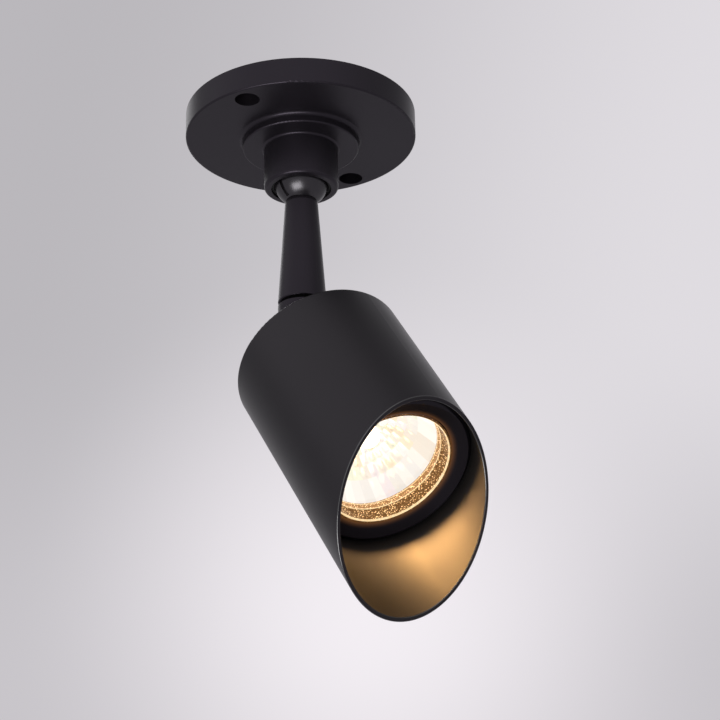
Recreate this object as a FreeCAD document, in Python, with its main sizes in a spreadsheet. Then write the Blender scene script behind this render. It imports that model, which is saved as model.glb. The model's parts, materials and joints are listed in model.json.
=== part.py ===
import FreeCAD, Part
import math
import os
import re
import Sketcher

# Ceiling spotlight on a short tapered rod. Millimetres, +Z up, origin at the centre of the
# mounting face, so that everything hangs below zero. The beam leans towards +X at rest.
# A ball at the rod's top sits in the ceiling plate's socket, the rod's lower end carries a
# swivelling fork, and the lamp head tilts in that fork.

SIZES = [
    ("plate_r", 47.5, "ceiling plate radius"),
    ("plate_h", 11.0, "ceiling plate height"),
    ("plate_round", 0.8, "rounding of the plate's lower edge"),
    ("plate_wall", 4.5, "wall of the plate round the wiring recess"),
    ("recess_h", 8.4, "wiring recess depth"),
    ("boss_r", 24.0, "boss radius"),
    ("boss_h", 4.4, "boss height under the plate"),
    ("boss_fillet", 1.6, "fillet between plate and boss"),
    ("boss_round", 0.6, "rounding of the boss's lower edge"),
    ("tube_r", 15.25, "socket tube radius"),
    ("tube_len", 18.4, "socket tube length under the boss"),
    ("tube_wall", 1.95, "socket tube wall"),
    ("tube_fillet", 1.0, "fillet between boss and tube"),
    ("mouth_round", 1.3, "rounding of the tube's mouth"),
    ("lip_w", 1.0, "width of the inward lip at the mouth"),
    ("lip_h", 2.0, "height of the lip at the mouth"),
    ("screw_inset", 7.5, "ceiling screws inside the plate's edge"),
    ("screw_angle", 109.0, "direction of the first ceiling screw, degrees from +X"),
    ("screw_hole_r", 2.5, "ceiling screw hole radius"),
    ("screw_head_r", 5.0, "counterbore radius for the ceiling screw head"),
    ("screw_head_h", 7.0, "counterbore depth for the ceiling screw head"),
    ("pillar_wall", 1.8, "wall of the pillar round the counterbore"),
    ("fit_gap", 0.1, "clearance of a piece seated in its bore"),
    ("slip_gap", 0.05, "running clearance of a pin or shaft"),
    ("ball_r", 11.5, "ball radius"),
    ("ball_set", 4.2, "ball centre above the mouth"),
    ("seat_gap", 0.2, "clearance between ball and seat"),
    ("bush_wall", 1.5, "wall of the seat bush under the ball"),
    ("bush_top", 3.5, "seat bush height above the ball centre"),
    ("nose_recess", 1.0, "seat bush end inside the mouth"),
    ("groove_w", 1.6, "width of the ball's guide groove"),
    ("groove_depth", 1.2, "depth of the ball's guide groove"),
    ("groove_sweep", 106.0, "sweep of the guide groove, degrees"),
    ("guide_r", 1.6, "guide pin radius"),
    ("guide_nose_h", 2.2, "height of the guide pin's flat nose"),
    ("cup_gap", 0.8, "gap between seat bush and pressure cup"),
    ("cup_h", 8.7, "pressure cup height"),
    ("cup_hole_r", 5.5, "hole through the pressure cup"),
    ("spring_hole_r", 7.0, "hole through the disc springs and the retaining ring"),
    ("spring_t", 0.8, "disc spring thickness"),
    ("spring_cone", 0.7, "disc spring cone height"),
    ("ring_h", 3.5, "retaining ring height"),
    ("notch_w", 3.0, "width of the retaining ring's key notches"),
    ("notch_h", 1.5, "depth of the retaining ring's key notches"),
    ("terminal_x", 23.0, "terminal block centre from the axis"),
    ("terminal_w", 14.0, "terminal block width"),
    ("terminal_len", 22.0, "terminal block length"),
    ("terminal_h", 7.6, "terminal block height"),
    ("wire_hole_r", 1.7, "terminal block wire entry radius"),
    ("wire_pitch", 12.0, "distance between the two wire entries"),
    ("clamp_r", 1.5, "terminal block clamp hole radius"),
    ("fix_screw_x", 19.0, "terminal and earth screw distance from the axis"),
    ("fix_screw_r", 1.5, "terminal and earth screw shank radius"),
    ("fix_screw_len", 4.5, "thread length in the plate of those screws"),
    ("fix_head_r", 3.0, "head radius of those screws"),
    ("fix_head_h", 2.2, "head height of those screws"),
    ("fix_sink", 3.0, "depth of the screw head's pocket in the terminal block"),
    ("driver_w", 0.8, "width of a screw head's driver slot"),
    ("driver_h", 0.8, "depth of a screw head's driver slot"),
    ("arm_neck_r", 6.0, "rod radius at the ball"),
    ("arm_top_r", 6.75, "rod radius under its shoulder"),
    ("arm_shoulder", 1.7, "height of the rod's shoulder under the ball"),
    ("arm_end_r", 9.8, "rod radius at its lower end"),
    ("arm_len", 46.0, "rod length from the ball to the seam"),
    ("arm_step", 0.25, "step between the ball's flat and the rod"),
    ("arm_edge", 0.5, "rounding of the rod's lower edge"),
    ("lead_r", 3.0, "lead passage radius in ball and rod"),
    ("lead_flare_r", 5.0, "lead passage radius at the ball's top"),
    ("lead_flare_top", 1.5, "straight part of the flare under the ball's top"),
    ("lead_flare_h", 3.0, "height of the flare's cone"),
    ("spigot_r", 5.0, "radius of the rod's spigot in the ball"),
    ("spigot_h", 7.0, "length of the rod's spigot in the ball"),
    ("seam_gap", 1.5, "shadow gap between rod and fork"),
    ("seam_inset", 1.2, "inset of the swivel washer in the shadow gap"),
    ("stud_r", 4.0, "swivel stud radius"),
    ("stud_len", 12.0, "swivel stud length in the rod"),
    ("stud_bore_r", 2.4, "lead passage radius in the swivel stud"),
    ("stud_head_r", 5.6, "swivel stud head radius"),
    ("stud_head_h", 2.0, "swivel stud head height"),
    ("stud_room", 0.6, "clearance round the swivel stud's head"),
    ("wave_t", 0.5, "spring washer thickness"),
    ("fork_h", 12.2, "fork's top above the tilt axis"),
    ("fork_wall", 3.6, "fork's top wall"),
    ("slot_w", 8.6, "slot between the fork's ears"),
    ("pad_t", 0.6, "friction washer thickness"),
    ("pad_r", 4.6, "friction washer radius"),
    ("play", 0.05, "play beside each friction washer"),
    ("tongue_r", 5.0, "radius of the hinge lug's eye"),
    ("pivot_r", 2.0, "pivot screw radius"),
    ("pivot_head_r", 3.5, "pivot screw head radius"),
    ("pivot_head_h", 2.6, "pivot screw head height"),
    ("socket_af", 2.5, "pivot screw's hexagon socket across flats"),
    ("socket_h", 1.6, "depth of that socket"),
    ("ear_seat", 6.4, "seat of screw head and nut from the middle of the fork"),
    ("nut_af", 7.0, "pivot nut across flats"),
    ("nut_h", 2.8, "pivot nut height"),
    ("nut_room", 0.16, "clearance round the nut's corners"),
    ("rear_gap", 18.7, "head's rear face from the tilt axis"),
    ("rest_tilt", 35.0, "head tilt at rest, degrees from straight down"),
    ("lug_r", 13.0, "hinge lug base radius"),
    ("lug_h", 4.0, "hinge lug base height"),
    ("lug_edge", 1.0, "rounding of the hinge lug base"),
    ("lug_screw_x", 9.0, "hinge lug screws from the head's axis"),
    ("lug_screw_r", 1.5, "hinge lug screw radius"),
    ("lug_screw_in", 3.2, "hinge lug screw length in the lug"),
    ("lug_head_r", 2.75, "hinge lug screw head radius"),
    ("lug_head_h", 1.8, "hinge lug screw head height"),
    ("grommet_y", 9.0, "cable grommet from the head's axis"),
    ("grommet_r", 3.2, "cable grommet neck radius"),
    ("grommet_bore", 2.0, "cable grommet bore radius"),
    ("grommet_rim", 1.2, "cable grommet rim"),
    ("head_r", 34.5, "head radius"),
    ("head_wall", 1.5, "head wall"),
    ("rear_wall", 2.5, "head's rear wall"),
    ("rear_round", 0.8, "rounding of the head's rear edge"),
    ("inner_fillet", 2.0, "fillet inside the head's rear corner"),
    ("head_len", 92.0, "head's length along its axis to the slanted mouth"),
    ("cut_angle", 33.3, "lean of the slanted mouth, degrees"),
    ("rim_round", 0.3, "rounding of the mouth's edges"),
    ("bracket_t", 1.0, "holder bracket sheet"),
    ("bracket_h", 4.0, "holder bracket height"),
    ("bracket_w", 18.0, "holder bracket width"),
    ("bracket_half", 15.0, "half length of the bracket's raised top"),
    ("bracket_foot", 8.0, "length of each bracket foot"),
    ("bracket_hole_r", 2.5, "lead hole radius in the bracket"),
    ("foot_screw_r", 1.25, "bracket screw radius"),
    ("foot_screw_in", 1.8, "bracket screw length in the rear wall"),
    ("foot_head_r", 2.4, "bracket and holder screw head radius"),
    ("foot_head_h", 1.6, "bracket and holder screw head height"),
    ("holder_r", 14.0, "lampholder radius"),
    ("holder_half", 10.0, "half width across the lampholder's flats"),
    ("holder_h", 15.0, "lampholder height"),
    ("holder_screw_y", 7.0, "lampholder screws from the axis"),
    ("holder_sink", 9.0, "depth of the lampholder screw pockets"),
    ("pin_pitch", 10.0, "lamp pin spacing"),
    ("pin_neck_r", 1.6, "lamp pin neck radius"),
    ("pin_neck_h", 3.0, "lamp pin neck height"),
    ("pin_foot_r", 2.4, "lamp pin foot radius"),
    ("pin_foot_h", 3.0, "lamp pin foot height"),
    ("pin_room", 0.4, "clearance round the lamp pins in the holder"),
    ("lamp_gap", 0.2, "gap between lamp and holder"),
    ("lamp_h", 47.0, "lamp height from its base to its front rim"),
    ("lamp_r", 25.2, "lamp rim radius"),
    ("lamp_collar", 9.7, "straight collar behind the lamp's rim"),
    ("lamp_base_r", 11.5, "lamp base radius"),
    ("lamp_base_h", 13.0, "lamp base height"),
    ("lamp_base_edge", 0.4, "rounding of the lamp base's edge"),
    ("lamp_neck_r", 13.5, "reflector neck radius"),
    ("lamp_belly_r", 22.5, "reflector radius at the knee of its bowl"),
    ("lamp_belly_h", 28.0, "height of that knee over the lamp's base"),
    ("lamp_bend", 16.0, "radius of the bowl's bend"),
    ("lamp_wall", 1.6, "reflector wall"),
    ("burner_r", 4.6, "lamp burner radius"),
    ("burner_h", 18.0, "lamp burner height over the reflector's floor"),
    ("burner_round", 3.7, "rounding of the burner's end"),
    ("glass_t", 1.6, "lamp front glass thickness"),
    ("glass_set", 0.6, "front glass behind the lamp's rim"),
    ("baffle_gap", 0.5, "gap between lamp rim and baffle ring"),
    ("baffle_set", 0.4, "baffle ring's inner edge behind the lamp's rim"),
    ("baffle_rise", 2.2, "rise of the baffle ring's lip over its inner edge"),
    ("baffle_lip", 1.5, "baffle ring's lip inside the head's wall"),
    ("baffle_round", 0.5, "rounding of the baffle ring's lip"),
    ("baffle_drop", 1.2, "drop outside the baffle ring's lip"),
    ("baffle_t", 1.6, "baffle ring wall"),
    ("baffle_skirt", 12.0, "length of the baffle ring's skirt"),
]

doc = FreeCAD.newDocument("spotlight")
sheet = doc.addObject("Spreadsheet::Sheet", "dims")
for row, (alias, number, meaning) in enumerate(SIZES, 1):
    sheet.set("A%d" % row, meaning)
    sheet.set("B%d" % row, str(number))
    sheet.setAlias("B%d" % row, alias)
doc.recompute()

ALIASES = {alias for alias, number, meaning in SIZES}
LEAST_CUT = 1e-6    # mm3 that a cut takes off at least
ON_PLANE = 1e-4     # mm that an edge of the slanted mouth may leave its plane
EDGE_POINTS = 5     # points of an edge that are looked at for that
nodes = []

# Places that several pieces share.
BORE_R = "(tube_r - tube_wall)"
MOUTH_R = "(tube_r - tube_wall - lip_w)"
MOUTH_DEPTH = "(plate_h + boss_h + tube_len)"
BALL_DEPTH = "(plate_h + boss_h + tube_len - ball_set)"
PILLAR_R = "(screw_head_r + pillar_wall)"
RECESS_R = "(plate_r - plate_wall)"
SCREW_X = "((plate_r - screw_inset) * cos(screw_angle * 1deg))"
SCREW_Y = "((plate_r - screw_inset) * sin(screw_angle * 1deg))"
SEAT_R = "(ball_r + seat_gap)"
BUSH_R = "(tube_r - tube_wall - fit_gap)"
FLOOR_R = "(ball_r - groove_depth)"
CUP_LOW = "(bush_top + cup_gap)"
CUP_TOP = "(bush_top + cup_gap + cup_h)"
SPRING_STEP = "(spring_t + spring_cone)"
FLAT = "sqrt(ball_r^2 - (arm_neck_r + arm_step)^2)"
ARM_END = "(%s + arm_len)" % FLAT
PIVOT = "(%s + seam_gap + fork_h)" % ARM_END
PIVOT_DEPTH = "(%s + %s)" % (BALL_DEPTH, PIVOT)
FORK_ROOF = "(fork_h - fork_wall)"
TONGUE_W = "(slot_w - 2 * pad_t - 4 * play)"
NUT_CORNER = "(nut_af / sqrt(3))"
HEAD_IN_R = "(head_r - head_wall)"
WALL_IN = "(rear_gap + rear_wall)"
HOLDER_BACK = "(rear_gap + rear_wall + bracket_h)"
FOOT_X = "(bracket_half + bracket_foot / 2)"
LAMP_BASE = "(%s + holder_h + lamp_gap)" % HOLDER_BACK
LAMP_FRONT = "(%s + lamp_h)" % LAMP_BASE
LEAN = "tan(cut_angle * 1deg)"


def bound(text):
    """The expression with each size read from the sheet."""
    return re.sub(r"[a-z]\w*", lambda m: "dims." + m.group() if m.group() in ALIASES else m.group(), text)


def size(text):
    """The present value of an expression, as a number."""
    result = sheet.evalExpression(bound(text))
    return float(getattr(result, "Value", result))


def body(name, origin="0", tilted=False):
    """A named piece whose own origin lies at that depth under the ceiling, tilted with the head or not."""
    piece = doc.addObject("PartDesign::Body", name)
    piece.Label = name
    turn = size("rest_tilt") if tilted else 0.0
    rotation = FreeCAD.Rotation(FreeCAD.Vector(0, -1, 0), turn)
    piece.Placement = FreeCAD.Placement(FreeCAD.Vector(0, 0, -size(origin)), rotation)
    if origin != "0":
        piece.setExpression("Placement.Base.z", "-" + bound(origin))
    if tilted:
        piece.setExpression("Placement.Rotation.Angle", bound("rest_tilt"))
    nodes.append(piece)
    return piece


def sketch_on(piece, name, role, offset):
    sketch = piece.newObject("Sketcher::SketchObject", name)
    plane = next(f for f in piece.Origin.OriginFeatures if f.Role == role)
    sketch.AttachmentSupport = [(plane, "")]
    sketch.MapMode = "FlatFace"
    if offset:
        sketch.setExpression("AttachmentOffset.Base.z", bound(offset))
    return sketch


def fix_point(sketch, geo, pos, x, y):
    """Ties a point of the sketch to its two coordinates."""
    for kind, axis, text in (("DistanceX", -2, x), ("DistanceY", -1, y)):
        if text == "0":
            sketch.addConstraint(Sketcher.Constraint("PointOnObject", geo, pos, axis))
        else:
            index = sketch.addConstraint(Sketcher.Constraint(kind, -1, 1, geo, pos, size(text)))
            sketch.setExpression("Constraints[%d]" % index, bound(text))


def fix_radius(sketch, geo, text):
    index = sketch.addConstraint(Sketcher.Constraint("Radius", geo, size(text)))
    sketch.setExpression("Constraints[%d]" % index, bound(text))


def corner_arc(before, here, after, radius):
    """Where an arc of that radius leaves and meets the two lines of a corner, and its centre."""
    to_before = (before - here).normalize()
    to_after = (after - here).normalize()
    half = to_before.getAngle(to_after) / 2
    reach = radius / math.tan(half)
    centre = here + (to_before + to_after).normalize() * (radius / math.sin(half))
    return here + to_before * reach, here + to_after * reach, centre


def outline(sketch, corners):
    """A closed outline of straight lines; a corner with a third value is rounded by that radius."""
    points = [FreeCAD.Vector(size(c[0]), size(c[1]), 0) for c in corners]
    count = len(points)
    starts, ends, centres = [], [], []
    for i, corner in enumerate(corners):
        if len(corner) == 3:
            after = points[(i + 1) % count]
            start, end, centre = corner_arc(points[i - 1], points[i], after, size(corner[2]))
        else:
            start, end, centre = points[i], points[i], None
        starts.append(start)
        ends.append(end)
        centres.append(centre)
    lines = [sketch.addGeometry(Part.LineSegment(ends[i], starts[(i + 1) % count])) for i in range(count)]
    for i, corner in enumerate(corners):
        if centres[i] is None:
            sketch.addConstraint(Sketcher.Constraint("Coincident", lines[i - 1], 2, lines[i], 1))
            fix_point(sketch, lines[i], 1, corner[0], corner[1])
            continue
        circle = Part.Circle(centres[i], FreeCAD.Vector(0, 0, 1), size(corner[2]))
        turn = (starts[i] - centres[i]).cross(ends[i] - centres[i]).z
        first, last = (starts[i], ends[i]) if turn > 0 else (ends[i], starts[i])
        arc = sketch.addGeometry(Part.ArcOfCircle(circle, circle.parameter(first), circle.parameter(last)))
        meet, leave = (1, 2) if turn > 0 else (2, 1)
        sketch.addConstraint(Sketcher.Constraint("Tangent", lines[i - 1], 2, arc, meet))
        sketch.addConstraint(Sketcher.Constraint("Tangent", arc, leave, lines[i], 1))
        fix_radius(sketch, arc, corner[2])
        knot = sketch.addGeometry(Part.Point(points[i]), True)
        fix_point(sketch, knot, 1, corner[0], corner[1])
        sketch.addConstraint(Sketcher.Constraint("PointOnObject", knot, 1, lines[i - 1]))
        sketch.addConstraint(Sketcher.Constraint("PointOnObject", knot, 1, lines[i]))


def outlines(piece, name, role, *loops, offset=None):
    sketch = sketch_on(piece, name, role, offset)
    for corners in loops:
        outline(sketch, corners)
    return sketch


def circles(piece, name, role, *rounds, offset=None):
    """A sketch of circles, each given as x, y and radius."""
    sketch = sketch_on(piece, name, role, offset)
    for x, y, radius in rounds:
        centre = FreeCAD.Vector(size(x), size(y), 0)
        geo = sketch.addGeometry(Part.Circle(centre, FreeCAD.Vector(0, 0, 1), size(radius)))
        fix_radius(sketch, geo, radius)
        if x == "0" and y == "0":
            sketch.addConstraint(Sketcher.Constraint("Coincident", geo, 3, -1, 1))
        else:
            fix_point(sketch, geo, 3, x, y)
    return sketch


def rectangle(left, low, right, high):
    return [(left, low), (right, low), (right, high), (left, high)]


def hexagon(flats):
    """The corners of a hexagon of that width across its flats, round the origin."""
    far, near, flat = "(%s / sqrt(3))" % flats, "(%s / sqrt(12))" % flats, "(%s / 2)" % flats
    return [
        (far, "0"),
        (near, flat),
        ("-" + near, flat),
        ("-" + far, "0"),
        ("-" + near, "-" + flat),
        (near, "-" + flat)]


def pad(piece, sketch, length, both=False, back=False):
    feature = piece.newObject("PartDesign::Pad", sketch.Name + "_pad")
    feature.Profile = sketch
    feature.setExpression("Length", bound(length))
    feature.Midplane = both
    feature.Reversed = back
    return feature


def check_cut(feature):
    """A cut has to take something off its piece."""
    doc.recompute()
    if feature.Shape.Volume > feature.BaseFeature.Shape.Volume - LEAST_CUT:
        raise RuntimeError(feature.Name + " removes nothing")
    return feature


def pocket(piece, sketch, length=None, both=False, back=False):
    """A cut of that length against the sketch's normal, or right through if no length is given."""
    feature = piece.newObject("PartDesign::Pocket", sketch.Name + "_cut")
    feature.Profile = sketch
    if length:
        feature.setExpression("Length", bound(length))
    else:
        feature.Type = "ThroughAll"
    feature.Midplane = both
    feature.Reversed = back
    return check_cut(feature)


def driver_slots(piece, name, face, *heads, back=False):
    """A straight driver slot across each screw head, given as x, y and radius, cut from that face."""
    bars = []
    for x, y, radius in heads:
        reach = "(%s + driver_w)" % radius
        bars.append(rectangle(x + " - driver_w / 2", "%s - %s" % (y, reach),
                              x + " + driver_w / 2", "%s + %s" % (y, reach)))
    pocket(piece, outlines(piece, name, "XY_Plane", *bars, offset=face), "driver_h", back=back)


def revolve(piece, sketch, axis="V_Axis"):
    feature = piece.newObject("PartDesign::Revolution", sketch.Name + "_turn")
    feature.Profile = sketch
    feature.ReferenceAxis = (sketch, [axis])
    feature.Angle = 360
    return feature


def groove(piece, sketch, axis="V_Axis", sweep=None):
    feature = piece.newObject("PartDesign::Groove", sketch.Name + "_cut")
    feature.Profile = sketch
    feature.ReferenceAxis = (sketch, [axis])
    feature.Angle = 360
    if sweep:
        feature.setExpression("Angle", bound(sweep))
        feature.Midplane = True
    return check_cut(feature)


def hollow_ball(piece, name, radius):
    feature = piece.newObject("PartDesign::SubtractiveSphere", name)
    feature.setExpression("Radius", bound(radius))
    return check_cut(feature)


def turned(name, origin, *loops, tilted=False):
    """A piece turned about its own vertical axis from one or more closed outlines."""
    piece = body(name, origin, tilted)
    revolve(piece, outlines(piece, name + "_section", "XZ_Plane", *loops))
    return piece


def canopy():
    """Cast ceiling plate with boss, socket tube, wiring recess and two counterbored screw pillars."""
    piece = turned("canopy", "0", [
        (RECESS_R, "0"),
        ("plate_r", "0"),
        ("plate_r", "-plate_h", "plate_round"),
        ("boss_r", "-plate_h", "boss_fillet"),
        ("boss_r", "-(plate_h + boss_h)", "boss_round"),
        ("tube_r", "-(plate_h + boss_h)", "tube_fillet"),
        ("tube_r", "-" + MOUTH_DEPTH, "mouth_round"),
        (MOUTH_R, "-" + MOUTH_DEPTH),
        (MOUTH_R, "-(%s - lip_h)" % MOUTH_DEPTH),
        (BORE_R, "-(%s - lip_h)" % MOUTH_DEPTH),
        (BORE_R, "-recess_h"),
        (RECESS_R, "-recess_h")])
    ends = ((SCREW_X, SCREW_Y), ("-" + SCREW_X, "-" + SCREW_Y))
    pillars = circles(piece, "pillars", "XY_Plane", *[(x, y, PILLAR_R) for x, y in ends])
    pad(piece, pillars, "recess_h", back=True)
    sinks = [(x, y, "screw_head_r") for x, y in ends]
    sinks = circles(piece, "screw_heads", "XY_Plane", *sinks, offset="-plate_h")
    pocket(piece, sinks, "screw_head_h", back=True)
    pocket(piece, circles(piece, "screw_holes", "XY_Plane", *[(x, y, "screw_hole_r") for x, y in ends]))
    taps = [(x, "0", "fix_screw_r") for x in ("fix_screw_x", "-fix_screw_x")]
    taps = circles(piece, "fix_taps", "XY_Plane", *taps, offset="-recess_h")
    pocket(piece, taps, "fix_screw_len + fit_gap")


def seat_bush():
    """Plastic bush that carries the ball on its spherical seat and holds the guide pin."""
    lip = "-(ball_set - lip_h)"
    end = "-(ball_set - nose_recess)"
    inner = "(ball_r - bush_wall)"
    piece = turned("seat_bush", BALL_DEPTH, [
        (inner, "bush_top"),
        (inner, end),
        ("(%s - fit_gap)" % MOUTH_R, end),
        ("(%s - fit_gap)" % MOUTH_R, lip),
        (BUSH_R, lip),
        (BUSH_R, "bush_top")])
    hollow_ball(piece, "seat", SEAT_R)
    pocket(piece, circles(piece, "seat_entry", "XY_Plane", ("0", "0", SEAT_R)), "bush_top", back=True)
    hole = circles(piece, "guide_hole", "XZ_Plane", ("0", "0", "guide_r + slip_gap"))
    pocket(piece, hole, back=True)


def guide_pin():
    """Pin trapped between bush and tube; its flat-sided nose runs in the ball's groove."""
    piece = body("guide_pin", BALL_DEPTH)
    shank = circles(piece, "guide_shank", "XZ_Plane", ("0", "0", "guide_r"), offset=SEAT_R)
    pad(piece, shank, "%s - %s" % (BUSH_R, SEAT_R))
    half = "(groove_w / 2 - slip_gap)"
    nose = rectangle("-" + half, "-(guide_nose_h / 2)", half, "guide_nose_h / 2")
    nose = outlines(piece, "guide_nose", "XZ_Plane", nose, offset=FLOOR_R + " + seat_gap")
    pad(piece, nose, "groove_depth")


def pressure_cup():
    """Ring pressed onto the ball from above, with a spherical seat and a hole for the leads."""
    corners = rectangle("cup_hole_r", CUP_LOW, BUSH_R, CUP_TOP)
    piece = turned("pressure_cup", BALL_DEPTH, corners)
    hollow_ball(piece, "cup_seat", SEAT_R)


def disc_springs():
    """Two coned spring washers, set base to base, that press the cup onto the ball."""
    rim = BUSH_R
    low = [
        ("spring_hole_r", CUP_TOP),
        (rim, CUP_TOP + " + spring_cone"),
        (rim, CUP_TOP + " + " + SPRING_STEP),
        ("spring_hole_r", CUP_TOP + " + spring_t")]
    high = [
        (rim, CUP_TOP + " + " + SPRING_STEP),
        (rim, CUP_TOP + " + %s + spring_t" % SPRING_STEP),
        ("spring_hole_r", CUP_TOP + " + 2 * " + SPRING_STEP),
        ("spring_hole_r", CUP_TOP + " + %s + spring_cone" % SPRING_STEP)]
    piece = body("disc_springs", BALL_DEPTH)
    for name, corners in (("spring_low", low), ("spring_high", high)):
        revolve(piece, outlines(piece, name, "XZ_Plane", corners))


def retaining_ring():
    """Ring screwed into the tube's bore above the springs, with two notches for a key."""
    low = "%s + 2 * %s" % (CUP_TOP, SPRING_STEP)
    piece = turned("retaining_ring", BALL_DEPTH, rectangle("spring_hole_r", low, BUSH_R, low + " + ring_h"))
    bar = rectangle("-" + BORE_R, "-(notch_w / 2)", BORE_R, "notch_w / 2")
    notch = outlines(piece, "key_notches", "XY_Plane", bar, offset=low + " + ring_h")
    pocket(piece, notch, "notch_h")


def terminal_block():
    """Two-pole terminal block on the recess floor: wire entries, clamp holes and a fixing hole."""
    piece = body("terminal_block", "recess_h")
    left, right = "terminal_x - terminal_w / 2", "terminal_x + terminal_w / 2"
    plan = rectangle(left, "-(terminal_len / 2)", right, "terminal_len / 2")
    pad(piece, outlines(piece, "terminal_plan", "XY_Plane", plan), "terminal_h")
    sides = ("wire_pitch / 2", "-(wire_pitch / 2)")
    entries = [(y, "terminal_h / 2", "wire_hole_r") for y in sides]
    pocket(piece, circles(piece, "wire_entries", "YZ_Plane", *entries), both=True)
    clamps = [("terminal_x", y, "clamp_r") for y in sides]
    pocket(piece, circles(piece, "clamp_holes", "XY_Plane", *clamps, offset="terminal_h"), "terminal_h / 2")
    hole = ("fix_screw_x", "0", "fix_screw_r + fit_gap")
    pocket(piece, circles(piece, "fix_hole", "XY_Plane", hole, offset="terminal_h"))
    sink = ("fix_screw_x", "0", "fix_head_r + fit_gap")
    pocket(piece, circles(piece, "fix_sink_plan", "XY_Plane", sink, offset="terminal_h"), "fix_sink")


def fixing_screw(name, x, seat):
    """Slotted screw in a tapped hole of the plate, its head at that height over the recess floor."""
    piece = body(name, "recess_h")
    shank = (x, "0", "fix_screw_r - slip_gap")
    shank = circles(piece, name + "_shank", "XY_Plane", shank, offset="-fix_screw_len")
    pad(piece, shank, "fix_screw_len + " + seat)
    head = (x, "0", "fix_head_r")
    pad(piece, circles(piece, name + "_head", "XY_Plane", head, offset=seat), "fix_head_h")
    driver_slots(piece, name + "_slot", seat + " + fix_head_h", head)


def ball():
    """Ball with a lead passage, a flat for the rod and a guide groove along one meridian."""
    piece = body("ball", BALL_DEPTH)
    sphere = piece.newObject("PartDesign::AdditiveSphere", "ball_round")
    sphere.setExpression("Radius", bound("ball_r"))
    clear = "(ball_r + seat_gap)"
    spigot_top = "-(%s - spigot_h)" % FLAT
    groove(piece, outlines(piece, "ball_bore", "XZ_Plane", [
        ("0", clear),
        ("lead_flare_r", clear),
        ("lead_flare_r", "ball_r - lead_flare_top"),
        ("lead_r", "ball_r - lead_flare_top - lead_flare_h"),
        ("lead_r", spigot_top),
        ("spigot_r", spigot_top),
        ("spigot_r", "-" + FLAT),
        (clear, "-" + FLAT),
        (clear, "-" + clear),
        ("0", "-" + clear)]))
    slot = rectangle("-(groove_w / 2)", "-" + clear, "groove_w / 2", "-" + FLOOR_R)
    groove(piece, outlines(piece, "guide_groove", "XY_Plane", slot), "H_Axis", "groove_sweep")


def arm():
    """Tapered rod with a steep shoulder, bored for the leads, with a spigot and a thread for the stud."""
    top = "-(%s - spigot_h + fit_gap)" % FLAT
    tap = "-(%s - stud_len - fit_gap)" % ARM_END
    turned("arm", BALL_DEPTH, [
        ("lead_r", top),
        ("spigot_r - slip_gap", top),
        ("spigot_r - slip_gap", "-" + FLAT),
        ("arm_neck_r", "-" + FLAT),
        ("arm_top_r", "-(%s + arm_shoulder)" % FLAT),
        ("arm_end_r", "-" + ARM_END, "arm_edge"),
        ("stud_r + slip_gap", "-" + ARM_END),
        ("stud_r + slip_gap", tap),
        ("lead_r", tap)])


def swivel_stud():
    """Hollow headed stud screwed into the rod's end; the fork turns on it."""
    seat = "-(%s + seam_gap + fork_wall + wave_t)" % ARM_END
    foot = "-(%s + seam_gap + fork_wall + wave_t + stud_head_h)" % ARM_END
    top = "-(%s - stud_len)" % ARM_END
    turned("swivel_stud", BALL_DEPTH, [
        ("stud_bore_r", top),
        ("stud_r", top),
        ("stud_r", seat),
        ("stud_head_r", seat),
        ("stud_head_r", foot),
        ("stud_bore_r", foot)])


def swivel_washer():
    """Bearing washer in the shadow gap between rod and fork."""
    low, high = "-(%s + seam_gap)" % ARM_END, "-" + ARM_END
    turned("swivel_washer", BALL_DEPTH, rectangle("stud_r + slip_gap", low, "arm_end_r - seam_inset", high))


def wave_washer():
    """Spring washer between the fork's roof and the stud's head."""
    high = "-(%s + seam_gap + fork_wall)" % ARM_END
    low = "-(%s + seam_gap + fork_wall + wave_t)" % ARM_END
    turned("wave_washer", BALL_DEPTH, rectangle("stud_r + slip_gap", low, "stud_head_r", high))


def fork():
    """Round fork under the rod: two rounded ears, a roof for the stud, seats for screw and nut."""
    piece = body("fork", PIVOT_DEPTH)
    side = rectangle("-arm_end_r", "0", "arm_end_r", "fork_h")
    pad(piece, outlines(piece, "fork_side", "XZ_Plane", side), "2 * arm_end_r", both=True)
    pad(piece, circles(piece, "fork_ends", "XZ_Plane", ("0", "0", "arm_end_r")), "2 * arm_end_r", both=True)
    waste = circles(piece, "fork_plan", "XY_Plane", ("0", "0", "2 * arm_end_r"), ("0", "0", "arm_end_r"))
    pocket(piece, waste, both=True)
    slot = rectangle("-(slot_w / 2)", "-(2 * arm_end_r)", "slot_w / 2", FORK_ROOF)
    pocket(piece, outlines(piece, "fork_slot", "YZ_Plane", slot), both=True)
    pocket(piece, circles(piece, "stud_hole", "XY_Plane", ("0", "0", "stud_r + slip_gap")), back=True)
    room = circles(piece, "stud_pocket", "XY_Plane", ("0", "0", "stud_head_r + stud_room"), offset=FORK_ROOF)
    pocket(piece, room, "wave_t + stud_head_h + stud_room")
    pocket(piece, circles(piece, "pivot_hole", "XZ_Plane", ("0", "0", "pivot_r + slip_gap")), both=True)
    head = circles(piece, "head_seat", "XZ_Plane", ("0", "0", "pivot_head_r + fit_gap"), offset="ear_seat")
    pocket(piece, head, back=True)
    nut = circles(piece, "nut_seat", "XZ_Plane", ("0", "0", NUT_CORNER + " + nut_room"), offset="-ear_seat")
    pocket(piece, nut)


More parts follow.
